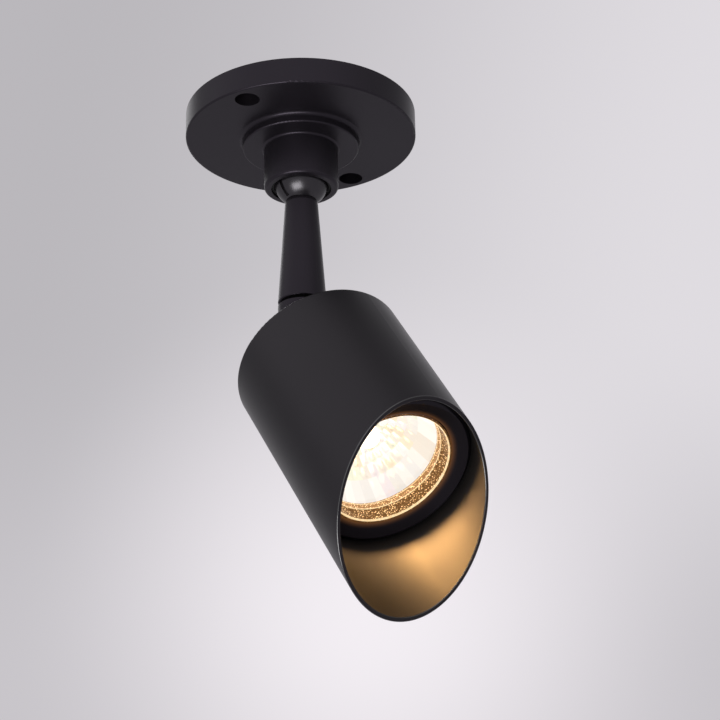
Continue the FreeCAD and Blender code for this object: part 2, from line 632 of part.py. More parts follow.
def pivot_screw():
    """Screw with a hexagon socket across the fork, on which the hinge lug turns."""
    piece = body("pivot_screw", PIVOT_DEPTH)
    shank = circles(piece, "pivot_shank", "XZ_Plane", ("0", "0", "pivot_r"), offset="-(ear_seat + nut_h)")
    pad(piece, shank, "2 * ear_seat + nut_h")
    head = circles(piece, "pivot_head", "XZ_Plane", ("0", "0", "pivot_head_r"), offset="ear_seat")
    pad(piece, head, "pivot_head_h")
    key = outlines(piece, "key_socket", "XZ_Plane", hexagon("socket_af"), offset="ear_seat + pivot_head_h")
    pocket(piece, key, "socket_h")


def pivot_nut():
    """Hexagon nut sunk in the other ear."""
    piece = body("pivot_nut", PIVOT_DEPTH)
    plan = outlines(piece, "nut_plan", "XZ_Plane", hexagon("nut_af"), offset="-(ear_seat + nut_h)")
    pad(piece, plan, "nut_h")
    pocket(piece, circles(piece, "nut_thread", "XZ_Plane", ("0", "0", "pivot_r + slip_gap")), both=True)


def friction_washers():
    """Two washers between the fork's ears and the hinge lug, which hold the head where it is put."""
    piece = body("friction_washers", PIVOT_DEPTH)
    rings = (("0", "0", "pad_r"), ("0", "0", "pivot_r + slip_gap"))
    near = "slot_w / 2 - play - pad_t"
    pad(piece, circles(piece, "washer_near", "XZ_Plane", *rings, offset=near), "pad_t")
    pad(piece, circles(piece, "washer_far", "XZ_Plane", *rings, offset="-(%s)" % near), "pad_t", back=True)


def hinge_lug():
    """Lug on the head's rear wall: a round base with an eye between the fork's ears."""
    high = "-(rear_gap - lug_h)"
    piece = turned("hinge_lug", PIVOT_DEPTH, [
        ("0", "-rear_gap"),
        ("lug_r", "-rear_gap"),
        ("lug_r", high, "lug_edge"),
        ("0", high)], tilted=True)
    pad(piece, circles(piece, "eye", "XZ_Plane", ("0", "0", "tongue_r")), TONGUE_W, both=True)
    web = rectangle("-tongue_r", high, "tongue_r", "0")
    pad(piece, outlines(piece, "eye_web", "XZ_Plane", web), TONGUE_W, both=True)
    pocket(piece, circles(piece, "eye_hole", "XZ_Plane", ("0", "0", "pivot_r + slip_gap")), both=True)
    taps = [(x, "0", "lug_screw_r") for x in ("lug_screw_x", "-lug_screw_x")]
    taps = circles(piece, "lug_taps", "XY_Plane", *taps, offset="-rear_gap")
    pocket(piece, taps, "lug_screw_in + fit_gap", back=True)
    passage = circles(piece, "lug_passage", "XY_Plane", ("0", "grommet_y", "grommet_r"))
    pocket(piece, passage)


def lug_screws():
    """Two screws from inside the head, through its rear wall, into the lug."""
    piece = body("lug_screws", PIVOT_DEPTH, tilted=True)
    ends = ("lug_screw_x", "-lug_screw_x")
    shanks = [(x, "0", "lug_screw_r - slip_gap") for x in ends]
    shanks = circles(piece, "lug_shanks", "XY_Plane", *shanks, offset="-" + WALL_IN)
    pad(piece, shanks, "rear_wall + lug_screw_in")
    heads = [(x, "0", "lug_head_r") for x in ends]
    plan = circles(piece, "lug_heads", "XY_Plane", *heads, offset="-" + WALL_IN)
    pad(piece, plan, "lug_head_h", back=True)
    driver_slots(piece, "lug_slots", "-(%s + lug_head_h)" % WALL_IN, *heads, back=True)


def housing():
    """Head: a cup with a closed rear wall, whose mouth is cut off at a slant and is longer below."""
    reach = "(head_r + head_wall)"
    long_lip = "-(rear_gap + head_len + %s * %s)" % (reach, LEAN)
    short_lip = "-(rear_gap + head_len - %s * %s)" % (reach, LEAN)
    waste_end = "-(rear_gap + head_len + 2 * %s * %s)" % (reach, LEAN)
    piece = turned("housing", PIVOT_DEPTH, [
        ("0", "-rear_gap"),
        ("head_r", "-rear_gap", "rear_round"),
        ("head_r", long_lip),
        (HEAD_IN_R, long_lip),
        (HEAD_IN_R, "-" + WALL_IN, "inner_fillet"),
        ("0", "-" + WALL_IN)], tilted=True)
    slant = outlines(piece, "slanted_mouth", "XZ_Plane", [
        ("-" + reach, long_lip),
        (reach, short_lip),
        (reach, waste_end),
        ("-" + reach, waste_end)])
    pocket(piece, slant, both=True)
    holes = [(x, "0", "lug_screw_r + fit_gap") for x in ("lug_screw_x", "-lug_screw_x")]
    holes += [("0", "grommet_y", "grommet_r + fit_gap")]
    wall_holes = circles(piece, "wall_holes", "XY_Plane", *holes, offset="-rear_gap")
    pocket(piece, wall_holes, "rear_wall")
    taps = [(x, "0", "foot_screw_r") for x in (FOOT_X, "-" + FOOT_X)]
    taps = circles(piece, "foot_taps", "XY_Plane", *taps, offset="-" + WALL_IN)
    last = pocket(piece, taps, "foot_screw_in + fit_gap", back=True)
    lean = math.radians(size("cut_angle"))
    normal = FreeCAD.Vector(math.sin(lean), 0, -math.cos(lean))
    level = FreeCAD.Vector(0, 0, -size("rear_gap + head_len")).dot(normal)
    rim = []
    for index, edge in enumerate(last.Shape.Edges, 1):
        if all(abs(v.dot(normal) - level) < ON_PLANE for v in edge.discretize(EDGE_POINTS)):
            rim.append("Edge%d" % index)
    soft = piece.newObject("PartDesign::Fillet", "rim_soft")
    soft.Base = (last, rim)
    soft.setExpression("Radius", bound("rim_round"))


def cable_grommet():
    """Rubber grommet in the rear wall, where the leads enter the head beside the hinge lug."""
    piece = body("cable_grommet", PIVOT_DEPTH, tilted=True)
    neck = circles(piece, "grommet_neck", "XY_Plane", ("0", "grommet_y", "grommet_r"), offset="-" + WALL_IN)
    pad(piece, neck, "rear_wall")
    rim = ("0", "grommet_y", "grommet_r + grommet_rim")
    rim = circles(piece, "grommet_flange", "XY_Plane", rim, offset="-" + WALL_IN)
    pad(piece, rim, "grommet_rim", back=True)
    bore = circles(piece, "grommet_hole", "XY_Plane", ("0", "grommet_y", "grommet_bore"))
    pocket(piece, bore)


def holder_bracket():
    """Bent sheet bracket on the rear wall that carries the lampholder."""
    low, high = "-(%s + bracket_t)" % WALL_IN, "-" + HOLDER_BACK
    tip = "(bracket_half + bracket_foot)"
    piece = body("holder_bracket", PIVOT_DEPTH, tilted=True)
    pad(piece, outlines(piece, "bracket_side", "XZ_Plane", [
        ("-" + tip, "-" + WALL_IN),
        ("-(bracket_half - bracket_t)", "-" + WALL_IN),
        ("-(bracket_half - bracket_t)", high + " + bracket_t"),
        ("bracket_half - bracket_t", high + " + bracket_t"),
        ("bracket_half - bracket_t", "-" + WALL_IN),
        (tip, "-" + WALL_IN),
        (tip, low),
        ("bracket_half", low),
        ("bracket_half", high),
        ("-bracket_half", high),
        ("-bracket_half", low),
        ("-" + tip, low)]), "bracket_w", both=True)
    feet = [(x, "0", "foot_screw_r + fit_gap") for x in (FOOT_X, "-" + FOOT_X)]
    tops = [("0", y, "foot_screw_r + fit_gap") for y in ("holder_screw_y", "-holder_screw_y")]
    passage = ("0", "0", "bracket_hole_r")
    pocket(piece, circles(piece, "bracket_holes", "XY_Plane", *feet, *tops, passage))


def bracket_screws():
    """Two screws that hold the bracket's feet to the rear wall."""
    piece = body("bracket_screws", PIVOT_DEPTH, tilted=True)
    ends = (FOOT_X, "-" + FOOT_X)
    foot = "(%s + bracket_t)" % WALL_IN
    shanks = [(x, "0", "foot_screw_r - slip_gap") for x in ends]
    shanks = circles(piece, "foot_shanks", "XY_Plane", *shanks, offset="-" + foot)
    pad(piece, shanks, "bracket_t + foot_screw_in")
    heads = [(x, "0", "foot_head_r") for x in ends]
    plan = circles(piece, "foot_heads", "XY_Plane", *heads, offset="-" + foot)
    pad(piece, plan, "foot_head_h", back=True)
    driver_slots(piece, "foot_slots", "-(%s + foot_head_h)" % foot, *heads, back=True)


def lampholder():
    """Ceramic holder with two flats, two twist-lock openings for the lamp's pins and two screw pockets."""
    front = "-(%s + holder_h)" % HOLDER_BACK
    piece = body("lampholder", PIVOT_DEPTH, tilted=True)
    pad(piece, circles(piece, "holder_plan", "XY_Plane", ("0", "0", "holder_r"), offset=front), "holder_h")
    for name, side in (("holder_flat_near", "-1"), ("holder_flat_far", "1")):
        strip = rectangle("-holder_r", side + " * 2 * holder_r", "holder_r", side + " * holder_half")
        pocket(piece, outlines(piece, name, "XY_Plane", strip, offset=front), back=True)
    pins = [(x, "0", "pin_foot_r + pin_room") for x in ("pin_pitch / 2", "-(pin_pitch / 2)")]
    openings = circles(piece, "pin_openings", "XY_Plane", *pins, offset=front)
    pocket(piece, openings, "pin_neck_h + pin_foot_h + pin_room", back=True)
    screws = [("0", y, "foot_screw_r + fit_gap") for y in ("holder_screw_y", "-holder_screw_y")]
    pocket(piece, circles(piece, "holder_holes", "XY_Plane", *screws, offset=front), back=True)
    sinks = [("0", y, "foot_head_r + fit_gap") for y in ("holder_screw_y", "-holder_screw_y")]
    pocket(piece, circles(piece, "holder_sinks", "XY_Plane", *sinks, offset=front), "holder_sink", back=True)


def holder_screws():
    """Two screws that hold the lampholder to its bracket."""
    piece = body("holder_screws", PIVOT_DEPTH, tilted=True)
    ends = ("holder_screw_y", "-holder_screw_y")
    seat = "(%s + holder_h - holder_sink)" % HOLDER_BACK
    shanks = [("0", y, "foot_screw_r - slip_gap") for y in ends]
    shanks = circles(piece, "holder_shanks", "XY_Plane", *shanks, offset="-" + seat)
    pad(piece, shanks, "holder_h - holder_sink + bracket_t")
    heads = [("0", y, "foot_head_r") for y in ends]
    plan = circles(piece, "holder_heads", "XY_Plane", *heads, offset="-" + seat)
    pad(piece, plan, "foot_head_h", back=True)
    driver_slots(piece, "holder_slots", "-(%s + foot_head_h)" % seat, *heads, back=True)


def lamp_base():
    """Insulating base of the lamp, under the reflector's neck."""
    turned("lamp_base", PIVOT_DEPTH, [
        ("0", "-" + LAMP_BASE),
        ("lamp_base_r", "-" + LAMP_BASE, "lamp_base_edge"),
        ("lamp_base_r", "-(%s + lamp_base_h / 2)" % LAMP_BASE),
        ("lamp_neck_r", "-(%s + lamp_base_h)" % LAMP_BASE),
        ("0", "-(%s + lamp_base_h)" % LAMP_BASE)], tilted=True)


def lamp_pins():
    """Two stepped contact pins under the lamp's base."""
    piece = body("lamp_pins", PIVOT_DEPTH, tilted=True)
    ends = ("pin_pitch / 2", "-(pin_pitch / 2)")
    necks = [(x, "0", "pin_neck_r") for x in ends]
    pad(piece, circles(piece, "pin_necks", "XY_Plane", *necks, offset="-" + LAMP_BASE), "pin_neck_h")
    foot = "-(%s - pin_neck_h)" % LAMP_BASE
    feet = [(x, "0", "pin_foot_r") for x in ends]
    pad(piece, circles(piece, "pin_feet", "XY_Plane", *feet, offset=foot), "pin_foot_h")


def lamp_reflector():
    """Glass bowl of the lamp: a neck on the base, a rounded bowl and a straight collar at the rim."""
    floor = "(%s + lamp_base_h)" % LAMP_BASE
    knee = "(%s + lamp_belly_h)" % LAMP_BASE
    collar = "(%s - lamp_collar)" % LAMP_FRONT
    turned("lamp_reflector", PIVOT_DEPTH, [
        ("0", "-" + floor),
        ("lamp_neck_r", "-" + floor),
        ("lamp_belly_r", "-" + knee, "lamp_bend"),
        ("lamp_r", "-" + collar),
        ("lamp_r", "-" + LAMP_FRONT),
        ("lamp_r - lamp_wall", "-" + LAMP_FRONT),
        ("lamp_r - lamp_wall", "-" + collar),
        ("lamp_belly_r - lamp_wall", "-(%s + lamp_wall / 2)" % knee, "lamp_bend - lamp_wall"),
        ("lamp_neck_r - 2 * lamp_wall", "-(%s + lamp_wall)" % floor),
        ("0", "-(%s + lamp_wall)" % floor)], tilted=True)


def lamp_burner():
    """Round-ended capsule on the reflector's floor."""
    low = "(%s + lamp_base_h + lamp_wall)" % LAMP_BASE
    turned("lamp_burner", PIVOT_DEPTH, [
        ("0", "-" + low),
        ("burner_r", "-" + low),
        ("burner_r", "-(%s + burner_h)" % low, "burner_round"),
        ("0", "-(%s + burner_h)" % low)], tilted=True)


def lamp_glass():
    """Front glass inside the lamp's rim."""
    front = "(%s - glass_set)" % LAMP_FRONT
    turned("lamp_glass", PIVOT_DEPTH, [
        ("0", "-(%s - glass_t)" % front),
        ("lamp_r - lamp_wall - slip_gap", "-(%s - glass_t)" % front),
        ("lamp_r - lamp_wall - slip_gap", "-" + front),
        ("0", "-" + front)], tilted=True)


def baffle_ring():
    """Dished ring that fills the space between the lamp's rim and the head's wall."""
    inner = "(lamp_r + baffle_gap)"
    edge = "(%s - baffle_set)" % LAMP_FRONT
    lip = "(%s + baffle_rise)" % edge
    outer = "(%s - fit_gap)" % HEAD_IN_R
    shoulder = "(%s - baffle_drop)" % lip
    turned("baffle_ring", PIVOT_DEPTH, [
        (inner, "-(%s - baffle_t)" % edge),
        (inner, "-" + edge),
        ("%s - baffle_lip" % HEAD_IN_R, "-" + lip, "baffle_round"),
        (outer, "-" + shoulder),
        (outer, "-(%s - baffle_skirt)" % shoulder),
        ("%s - baffle_t" % outer, "-(%s - baffle_skirt)" % shoulder),
        ("%s - baffle_t" % outer, "-(%s - baffle_t)" % shoulder)], tilted=True)


canopy()
seat_bush()
guide_pin()
pressure_cup()
disc_springs()
retaining_ring()
terminal_block()
fixing_screw("terminal_screw", "fix_screw_x", "terminal_h - fix_sink")
fixing_screw("earth_screw", "-fix_screw_x", "0")
ball()
arm()
swivel_stud()
swivel_washer()
wave_washer()
fork()
pivot_screw()
pivot_nut()
friction_washers()
hinge_lug()
lug_screws()
housing()
cable_grommet()
holder_bracket()
bracket_screws()
lampholder()
holder_screws()
lamp_base()
lamp_pins()
lamp_reflector()
lamp_burner()
lamp_glass()
baffle_ring()

doc.recompute()
for item in doc.Objects:
    if "Invalid" in item.State or "Error" in item.State:
        raise RuntimeError(item.Name + " failed: " + item.getStatusString())
for piece in nodes:
    if piece.Shape.isNull() or not piece.Shape.isValid() or not piece.Shape.Solids:
        raise RuntimeError(piece.Label + " has no valid solid")

os.makedirs("parts", exist_ok=True)
for piece in nodes:
    piece.Shape.exportStep(os.path.join("parts", piece.Label + ".step"))
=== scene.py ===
import json
import math

import bmesh
import bpy
import numpy as np
from mathutils import Matrix, Vector

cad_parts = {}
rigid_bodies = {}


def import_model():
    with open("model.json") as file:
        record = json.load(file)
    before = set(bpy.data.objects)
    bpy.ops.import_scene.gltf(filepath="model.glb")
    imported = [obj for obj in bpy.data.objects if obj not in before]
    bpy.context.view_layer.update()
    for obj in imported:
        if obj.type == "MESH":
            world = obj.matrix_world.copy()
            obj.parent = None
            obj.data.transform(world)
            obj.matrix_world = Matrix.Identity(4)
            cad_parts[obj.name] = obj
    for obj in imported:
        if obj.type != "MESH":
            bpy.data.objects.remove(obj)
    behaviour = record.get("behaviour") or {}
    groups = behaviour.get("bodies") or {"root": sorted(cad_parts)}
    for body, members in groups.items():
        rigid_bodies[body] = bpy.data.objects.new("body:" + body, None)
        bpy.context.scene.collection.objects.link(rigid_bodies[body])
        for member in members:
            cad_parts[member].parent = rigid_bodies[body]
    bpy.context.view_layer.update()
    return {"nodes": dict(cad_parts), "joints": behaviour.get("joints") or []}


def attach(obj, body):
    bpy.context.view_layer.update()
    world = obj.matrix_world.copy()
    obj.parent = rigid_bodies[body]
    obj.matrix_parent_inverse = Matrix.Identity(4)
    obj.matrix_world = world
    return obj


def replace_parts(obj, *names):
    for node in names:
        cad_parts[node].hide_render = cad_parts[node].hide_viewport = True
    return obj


for leftover in list(bpy.data.objects):
    bpy.data.objects.remove(leftover)

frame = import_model()
nodes = frame["nodes"]
scene = bpy.context.scene
scene.view_settings.view_transform = "Standard"

# Places on the spotlight, in metres, in the frame of the ceiling plate's mounting face. Distances along the
# beam are taken from the tilt axis.
MM = 0.001
JOINT = {joint["name"]: joint for joint in frame["joints"]}
PIVOT = np.array(JOINT["head_tilt"]["pos_m"])  # tilt axis of the head
TILT = math.radians(35.0)                      # the head's lean towards +X at rest
BEAM = np.array([math.sin(TILT), 0.0, -math.cos(TILT)])
UPPER = np.array([math.cos(TILT), 0.0, math.sin(TILT)])
ACROSS = np.array([0.0, 1.0, 0.0])
HEAD_INNER_R = 0.0330
MOUTH_REACH = 0.1107                           # where the slanted mouth cuts the head's axis
MOUTH_LEAN = math.radians(33.3)
MOUTH_ROUND = 0.30 * MM                        # rounding of the mouth's edges
RING_INNER_R = 25.7 * MM
LAMP_FLOOR = 0.0534                            # back of the lamp's bowl
LAMP_FOOT = LAMP_FLOOR + 1.6 * MM              # floor inside the bowl
BOWL_END = 0.0777                              # where the bowl meets its collar


# Shader building

def wire(tree, *pairs):
    """Links each output to the input beside it in its pair."""
    for out, into in pairs:
        tree.links.new(out, into)


def preset(node, values):
    """Fixed values on a node's inputs, by their labels."""
    for label, value in values.items():
        node.inputs[label].default_value = value


def object_place(tree):
    """The point's place in the object's own coordinates."""
    return tree.nodes.new("ShaderNodeTexCoord").outputs["Object"]


def ramp(tree, source, *stops):
    """A colour ramp over a value, from stops of place and colour."""
    node = tree.nodes.new("ShaderNodeValToRGB")
    band = node.color_ramp
    while len(band.elements) < len(stops):
        band.elements.new(0.5)
    for element, (place, colour) in zip(band.elements, stops):
        element.position = place
        element.color = (*colour, 1.0)
    wire(tree, (source, node.inputs["Fac"]))
    return node.outputs["Color"]


def span(tree, source, low, high, to_low=0.0, to_high=1.0, smooth=False):
    """The value carried from one range to another, held at the ends."""
    node = tree.nodes.new("ShaderNodeMapRange")
    node.interpolation_type = "SMOOTHSTEP" if smooth else "LINEAR"
    preset(node, {"From Min": low, "From Max": high, "To Min": to_low, "To Max": to_high})
    wire(tree, (source, node.inputs["Value"]))
    return node.outputs["Result"]


def maths(tree, operation, *sources):
    """One operation on values, each a number or an output."""
    node = tree.nodes.new("ShaderNodeMath")
    node.operation = operation
    for socket, source in zip(node.inputs, sources):
        if isinstance(source, (int, float)):
            socket.default_value = source
        else:
            wire(tree, (source, socket))
    return node.outputs[0]


def between(tree, factor, first, second):
    """Two values mixed by a factor."""
    return maths(tree, "MULTIPLY_ADD", factor, maths(tree, "SUBTRACT", second, first), first)


def blend(tree, factor, first, second):
    """Two colours mixed by a factor."""
    node = tree.nodes.new("ShaderNodeMix")
    node.data_type = "RGBA"
    colour_a, colour_b = node.inputs[6], node.inputs[7]
    for socket, source in ((colour_a, first), (colour_b, second)):
        if isinstance(source, tuple):
            socket.default_value = (*source, 1.0)
        else:
            wire(tree, (source, socket))
    wire(tree, (factor, node.inputs[0]))
    return node.outputs[2]


def vector_maths(tree, operation, source, fixed):
    """One operation on a vector and a fixed vector; gives the node's outputs."""
    node = tree.nodes.new("ShaderNodeVectorMath")
    node.operation = operation
    node.inputs[1].default_value = tuple(fixed)
    wire(tree, (source, node.inputs[0]))
    return node.outputs


def facing(tree, direction, axis):
    """How far a direction points along an axis."""
    return vector_maths(tree, "DOT_PRODUCT", direction, axis)["Value"]


def tinted(tree, shade, tint):
    """A grey value as a colour with a tint."""
    node = tree.nodes.new("ShaderNodeVectorMath")
    node.operation = "SCALE"
    node.inputs[0].default_value = tint
    wire(tree, (shade, node.inputs["Scale"]))
    return node.outputs["Vector"]


def noise(tree, place, scale, detail=2.0, rough=0.5):
    """Noise from about 0 to 1, with the number of cells per metre as its scale."""
    node = tree.nodes.new("ShaderNodeTexNoise")
    preset(node, {"Scale": scale, "Detail": detail, "Roughness": rough})
    wire(tree, (place, node.inputs["Vector"]))
    return node.outputs["Fac"]


def new_group(name, inputs, outputs):
    """An empty shader group with inputs by name and value, and with named outputs; all are single values."""
    tree = bpy.data.node_groups.new(name, "ShaderNodeTree")
    for label, value in inputs.items():
        socket = tree.interface.new_socket(label, in_out="INPUT", socket_type="NodeSocketFloat")
        socket.default_value = value
    for label in outputs:
        tree.interface.new_socket(label, in_out="OUTPUT", socket_type="NodeSocketFloat")
    return tree, tree.nodes.new("NodeGroupInput").outputs, tree.nodes.new("NodeGroupOutput").inputs


def coat_group():
    """Powder coat: fine orange-peel grain for the bump, slow clouds and small specks in shade and gloss."""
    inputs = {"Dark": 0.016, "Light": 0.026, "Rough": 0.45, "Rough Spread": 0.08}
    tree, given, result = new_group("powder_coat", inputs, ("Shade", "Roughness", "Height"))
    place = object_place(tree)
    peel = noise(tree, place, 1500.0, 2.0)
    pits = noise(tree, place, 5200.0, 1.0)
    clouds = noise(tree, place, 38.0, 3.0, 0.6)
    specks = span(tree, noise(tree, place, 2400.0, 0.0), 0.70, 0.80)
    tone = maths(tree, "ADD", maths(tree, "MULTIPLY", clouds, 0.7), maths(tree, "MULTIPLY", specks, 0.35))
    shade = between(tree, tone, given["Dark"], given["Light"])
    wander = maths(tree, "ADD", clouds, maths(tree, "MULTIPLY", peel, 0.5))
    wander = maths(tree, "SUBTRACT", wander, 0.75)
    gloss = maths(tree, "MULTIPLY_ADD", wander, given["Rough Spread"], given["Rough"])
    height = maths(tree, "MULTIPLY_ADD", pits, 0.4, peel)
    wire(tree, (shade, result["Shade"]), (gloss, result["Roughness"]), (height, result["Height"]))
    return tree


def swirl_group():
    """Lathe marks and handling scratches: fine stretched noise in shade, gloss and height."""
    inputs = {"Rough": 0.3, "Rough Spread": 0.2}
    tree, given, result = new_group("turned_metal", inputs, ("Tone", "Roughness", "Height"))
    place = object_place(tree)
    stretch = tree.nodes.new("ShaderNodeMapping")
    preset(stretch, {"Scale": (0.12, 0.12, 1.0)})
    wire(tree, (place, stretch.inputs["Vector"]))
    lines = noise(tree, stretch.outputs["Vector"], 4200.0, 3.0, 0.6)
    stains = noise(tree, place, 210.0, 3.0, 0.6)
    tone = maths(tree, "ADD", maths(tree, "MULTIPLY", lines, 0.5), maths(tree, "MULTIPLY", stains, 0.5))
    wander = maths(tree, "SUBTRACT", tone, 0.5)
    gloss = maths(tree, "MULTIPLY_ADD", wander, given["Rough Spread"], given["Rough"])
    wire(tree, (tone, result["Tone"]), (gloss, result["Roughness"]), (lines, result["Height"]))
    return tree


# Materials

COAT = coat_group()
SWIRL = swirl_group()
COAT_TINT = (1.0, 0.87, 1.08)                  # black with a trace of violet
INSIDE_TINT = (1.0, 0.95, 0.90)
SHEEN_TINT = (0.93, 0.81, 1.0, 1.0)            # the same trace in its gloss
HEAD_SHEEN = (0.97, 0.90, 0.96, 1.0)
BALL_SHEEN = (0.98, 0.94, 1.0, 1.0)
PLAIN = (1.0, 1.0, 1.0)
PLAIN_SHEEN = (1.0, 1.0, 1.0, 1.0)
COAT_GRAIN = 0.04 * MM                         # depth of the coat's grain
LATHE_GRAIN = 0.02 * MM                        # depth of lathe marks


def finish_of(name):
    """A new material with its tree and its Principled shader."""
    material = bpy.data.materials.new(name)
    material.use_nodes = True
    tree = material.node_tree
    return material, tree, tree.nodes["Principled BSDF"]


def bump(tree, shader, height, strength, depth):
    """Fine relief from a height."""
    node = tree.nodes.new("ShaderNodeBump")
    preset(node, {"Strength": strength, "Distance": depth})
    wire(tree, (height, node.inputs["Height"]), (node.outputs["Normal"], shader.inputs["Normal"]))


def group_in(tree, source, values):
    """A shader group placed in a material with its own values; gives the group's outputs."""
    group = tree.nodes.new("ShaderNodeGroup")
    group.node_tree = source
    preset(group, values)
    return group.outputs


def coat(tree, dark, light, rough, spread):
    """The powder coat from its two shades, its roughness and the spread of that."""
    values = {"Dark": dark, "Light": light, "Rough": rough, "Rough Spread": spread}
    return group_in(tree, COAT, values)


def head_place(tree):
    """Two values of a point on the head: radius from its axis, and distance behind its mouth's plane."""
    offset = vector_maths(tree, "SUBTRACT", object_place(tree), PIVOT)["Vector"]
    upward, sideways, along = [facing(tree, offset, axis) for axis in (UPPER, ACROSS, BEAM)]
    squares = [maths(tree, "MULTIPLY", part, part) for part in (upward, sideways)]
    radius = maths(tree, "SQRT", maths(tree, "ADD", *squares))
    slant = maths(tree, "MULTIPLY_ADD", along, math.cos(MOUTH_LEAN),
                  maths(tree, "MULTIPLY", upward, math.sin(MOUTH_LEAN)))
    return radius, maths(tree, "SUBTRACT", MOUTH_REACH * math.cos(MOUTH_LEAN), slant)


def coated(name, shades, gloss, level, grain, tint=COAT_TINT, sheen=SHEEN_TINT):
    """A finish from the powder coat: two shades, roughness and its spread, specular level, grain strength."""
    material, tree, shader = finish_of(name)
    out = coat(tree, *shades, *gloss)
    preset(shader, {"Specular IOR Level": level, "Specular Tint": sheen})
    wire(tree, (tinted(tree, out["Shade"], tint), shader.inputs["Base Color"]),
         (out["Roughness"], shader.inputs["Roughness"]))
    bump(tree, shader, out["Height"], grain, COAT_GRAIN)
    return material


def housing_coat():
    """Powder coat outside; inside, the thinner satin coat that the lamp lights. The mouth's rounded edges are
    rubbed to bare metal."""
    bare, bare_rough = (0.15, 0.15, 0.15), 0.25
    material, tree, shader = finish_of("head_powder_coat")
    outside = coat(tree, 0.006, 0.011, 0.37, 0.10)
    inside = coat(tree, 0.006, 0.010, 0.41, 0.01)
    preset(shader, {"Specular IOR Level": 0.42, "Specular Tint": HEAD_SHEEN})
    radius, behind = head_place(tree)
    within = maths(tree, "LESS_THAN", radius, HEAD_INNER_R + 0.4 * MM)
    edge = maths(tree, "MULTIPLY", maths(tree, "GREATER_THAN", behind, 0.02 * MM),
                 maths(tree, "LESS_THAN", behind, MOUTH_ROUND))
    colour = blend(tree, within, tinted(tree, outside["Shade"], COAT_TINT),
                   tinted(tree, inside["Shade"], INSIDE_TINT))
    gloss = between(tree, within, outside["Roughness"], inside["Roughness"])
    wire(tree, (blend(tree, edge, colour, bare), shader.inputs["Base Color"]),
         (between(tree, edge, gloss, bare_rough), shader.inputs["Roughness"]),
         (edge, shader.inputs["Metallic"]))
    bump(tree, shader, outside["Height"], 0.16, COAT_GRAIN)
    return material


def ring_coat_with_painted_glow():
    """Black coat of the ring round the lamp, with a painted glow next to the lamp's rim: emission on the ring
    itself, standing in for the lamp's light falling there.
    """
    material = coated("baffle_ring_black_painted_glow", (0.003, 0.006), (0.30, 0.08), 0.30, 0.08)
    tree = material.node_tree
    shader = tree.nodes["Principled BSDF"]
    radius, _ = head_place(tree)
    # Painted glow: warm emission fading out over 2.2 mm from the ring's inner edge, in place of lamp light
    # spilling onto the black ring
    near = span(tree, radius, RING_INNER_R, RING_INNER_R + 2.2 * MM, 1.0, 0.0)
    glow = tinted(tree, maths(tree, "MULTIPLY", near, near), (0.100, 0.040, 0.012))
    preset(shader, {"Emission Strength": 1.0})
    wire(tree, (glow, shader.inputs["Emission Color"]))
    return material


def metal(name, dark, light, rough, spread):
    """Bare turned metal between two shades, with its roughness and the spread of that."""
    material, tree, shader = finish_of(name)
    out = group_in(tree, SWIRL, {"Rough": rough, "Rough Spread": spread})
    preset(shader, {"Metallic": 1.0})
    wire(tree, (blend(tree, out["Tone"], dark, light), shader.inputs["Base Color"]),
         (out["Roughness"], shader.inputs["Roughness"]))
    bump(tree, shader, out["Height"], 0.12, LATHE_GRAIN)
    return material


def pale_solid(name, dark, light, rough, grain, depth):
    """A pale moulded or fired material: slow stains in its colour, fine grain in gloss and bump."""
    material, tree, shader = finish_of(name)
    place = object_place(tree)
    stains = noise(tree, place, 160.0, 4.0, 0.6)
    fine = noise(tree, place, grain, 2.0)
    wire(tree, (ramp(tree, stains, (0.3, dark), (0.7, light)), shader.inputs["Base Color"]),
         (span(tree, fine, 0.2, 0.8, rough - 0.08, rough + 0.08), shader.inputs["Roughness"]))
    bump(tree, shader, fine, 0.25, depth)
    return material


def front_glass():
    """Thin clear front glass: too thin to bend the light, with a slight haze."""
    material, tree, shader = finish_of("lamp_front_glass")
    preset(shader, {"Transmission Weight": 1.0, "IOR": 1.0, "Base Color": (1.0, 0.99, 0.97, 1.0)})
    smear = noise(tree, object_place(tree), 90.0, 3.0)
    wire(tree, (span(tree, smear, 0.3, 0.7, 0.01, 0.05), shader.inputs["Roughness"]))
    return material


def lit_facets():
    """The lit mirror bowl: warm white, tinted from facet to facet by the bowl's own attribute."""
    material, tree, shader = finish_of("lit_reflector_facets")
    tint = tree.nodes.new("ShaderNodeAttribute")
    tint.attribute_name = "facet_glow"
    preset(shader, {"Base Color": (0.13, 0.12, 0.11, 1.0), "Metallic": 0.8, "Roughness": 0.12,
                    "Emission Strength": 1.0})
    wire(tree, (tint.outputs["Color"], shader.inputs["Emission Color"]))
    return material


def collar_speckle(name, deep, body, spark):
    """A band of the lamp's glass collar: brown, dotted with small sparks of lamp light."""
    material, tree, shader = finish_of(name)
    cells = tree.nodes.new("ShaderNodeTexVoronoi")
    preset(cells, {"Scale": 1900.0})
    chosen = tree.nodes.new("ShaderNodeSeparateColor")
    wire(tree, (object_place(tree), cells.inputs["Vector"]), (cells.outputs["Color"], chosen.inputs["Color"]))
    dots = span(tree, cells.outputs["Distance"], 0.15, 0.60, 1.0, 0.0)
    mask = maths(tree, "MULTIPLY", dots, span(tree, chosen.outputs["Red"], 0.35, 0.95, 0.10, 1.0))
    glow = ramp(tree, mask, (0.0, deep), (0.25, body), (0.85, spark))
    preset(shader, {"Base Color": (0.006, 0.004, 0.002, 1.0), "Specular IOR Level": 0.1, "Roughness": 0.4,
                    "Emission Strength": 2.5})
    wire(tree, (glow, shader.inputs["Emission Color"]))
    return material


